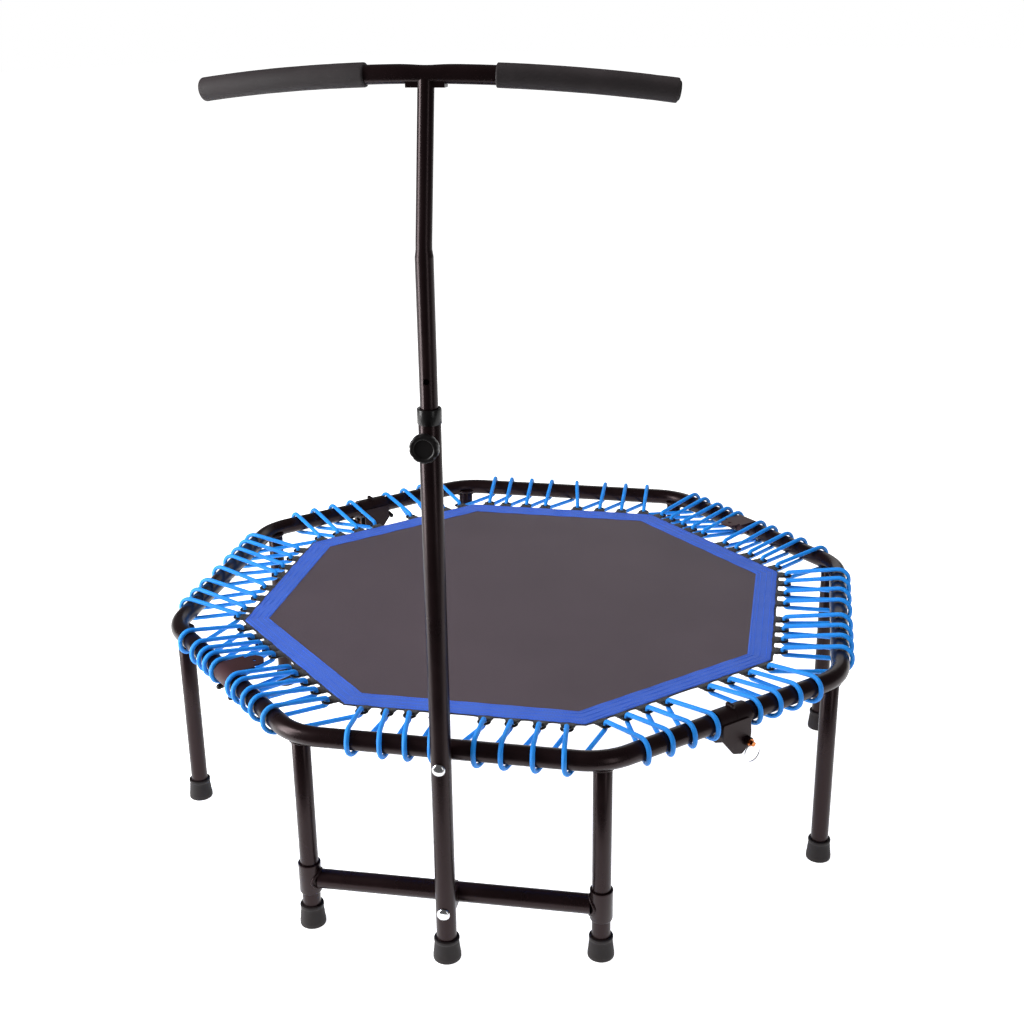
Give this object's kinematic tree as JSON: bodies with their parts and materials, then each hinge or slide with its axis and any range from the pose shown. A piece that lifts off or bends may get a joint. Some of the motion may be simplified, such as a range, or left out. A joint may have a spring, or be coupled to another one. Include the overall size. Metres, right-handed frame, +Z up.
{
  "type": "mini trampoline",
  "caption": "Octagonal fitness trampoline: woven mat laced by elastic cord to a folding tubular frame on straight legs, with a height-adjustable T handle on a braced post.",
  "frame": {"origin": "bottom centre of the whole object's box, on the floor", "axes": "+Z up, -Y towards the post and handle, +X to the right seen from the handle's side looking at the mat"},
  "size_m": [1.2378, 1.2847, 1.3605],
  "materials": {
    "frame_coat": "semi-gloss black powder coat",
    "hinge_coat": "semi-gloss black powder coat",
    "foot_rubber": "moulded, matte",
    "mat_weave": "tightly woven polypropylene, dark warm grey",
    "border_web": "stitched blue webbing",
    "tab_web": "black webbing",
    "tab_ring": "black coated ring",
    "cord_blue": "braided elastic cord, bright blue",
    "cord_end": "moulded",
    "bolt_chrome": "bright plated",
    "screw_black": "black zinc",
    "collar_plastic": "moulded",
    "grip_foam": "closed-cell foam",
    "plug_plastic": "moulded",
    "knob_plastic": "moulded, slight sheen",
    "pin_steel": "turned",
    "lock_brass": "copper-toned plating",
    "ring_steel": "bright wire"
  },
  "bodies": {
    "frame_front": {"tube_front": "frame_coat", "tube_left": "frame_coat", "leg_fl": "frame_coat", "leg_fr": "frame_coat", "leg_lb": "frame_coat", "leg_lf": "frame_coat", "feet_front": "foot_rubber", "splice_plate_fl": "hinge_coat", "splice_screws_fl": "screw_black", "hinge_housing_fr": "hinge_coat", "hinge_leaf_bl": "hinge_coat", "hinge_pivot_fr": "screw_black", "mat_front": "mat_weave", "border_front": "border_web", "tabs_front": "tab_web", "tab_rings_front": "tab_ring", "cord_ends_front": "cord_end", "cord_front": "cord_blue", "cord_left": "cord_blue", "brace_bar": "frame_coat", "brace_sleeves": "frame_coat", "lower_post": "frame_coat", "post_foot": "foot_rubber", "post_collar": "collar_plastic", "post_brackets": "frame_coat", "post_bolts": "bolt_chrome"},
    "frame_rear": {"tube_right": "frame_coat", "tube_back": "frame_coat", "leg_rf": "frame_coat", "leg_rb": "frame_coat", "leg_br": "frame_coat", "leg_bl": "frame_coat", "feet_rear": "foot_rubber", "splice_plate_br": "hinge_coat", "splice_screws_br": "screw_black", "hinge_housing_bl": "hinge_coat", "hinge_leaf_fr": "hinge_coat", "hinge_pivot_bl": "screw_black", "mat_rear": "mat_weave", "border_rear": "border_web", "tabs_rear": "tab_web", "tab_rings_rear": "tab_ring", "cord_ends_rear": "cord_end", "cord_right": "cord_blue", "cord_back": "cord_blue"},
    "handle": {"upper_stem": "frame_coat", "handlebar": "frame_coat", "bar_saddle": "frame_coat", "bar_plugs": "plug_plastic", "grip_left": "grip_foam", "grip_right": "grip_foam"},
    "height_knob": {"knob": "knob_plastic", "knob_pin": "pin_steel"},
    "lock_pin_front": {"lock_pin_fr": "lock_brass"},
    "lock_pin_back": {"lock_pin_bl": "lock_brass"},
    "lock_ring_front": {"lock_ring_fr": "ring_steel"},
    "lock_ring_back": {"lock_ring_bl": "ring_steel"}
  },
  "joints": [
    {"name": "frame_fold", "type": "hinge", "parent": "frame_front", "child": "frame_rear", "pos_m": [0, 0.023, 0.3795], "axis": [0.7071, -0.7071, 0], "range_deg": [0, 160]},
    {"name": "handle_height", "type": "slide", "parent": "frame_front", "child": "handle", "axis": [0, 0, 1], "range_m": [-0.088, 0.088]},
    {"name": "knob_pull", "type": "slide", "parent": "frame_front", "child": "height_knob", "axis": [0, -1, 0], "range_m": [0, 0.008], "stiffness_N_per_m": 600, "springref_m": -0.004},
    {"name": "lock_pull_front", "type": "slide", "parent": "frame_front", "child": "lock_pin_front", "axis": [0.7071, -0.7071, 0], "range_m": [0, 0.008], "stiffness_N_per_m": 500, "springref_m": -0.004},
    {"name": "lock_pull_back", "type": "slide", "parent": "frame_rear", "child": "lock_pin_back", "axis": [-0.7071, 0.7071, 0], "range_m": [0, 0.008], "stiffness_N_per_m": 500, "springref_m": -0.004},
    {"name": "lock_ring_front_swing", "type": "hinge", "parent": "lock_pin_front", "child": "lock_ring_front", "pos_m": [0.45778, -0.41017, 0.322], "axis": [0.7071, 0.7071, 0], "range_deg": [-90, 12]},
    {"name": "lock_ring_back_swing", "type": "hinge", "parent": "lock_pin_back", "child": "lock_ring_back", "pos_m": [-0.45778, 0.45617, 0.322], "axis": [-0.7071, -0.7071, 0], "range_deg": [-90, 12]}
  ]
}
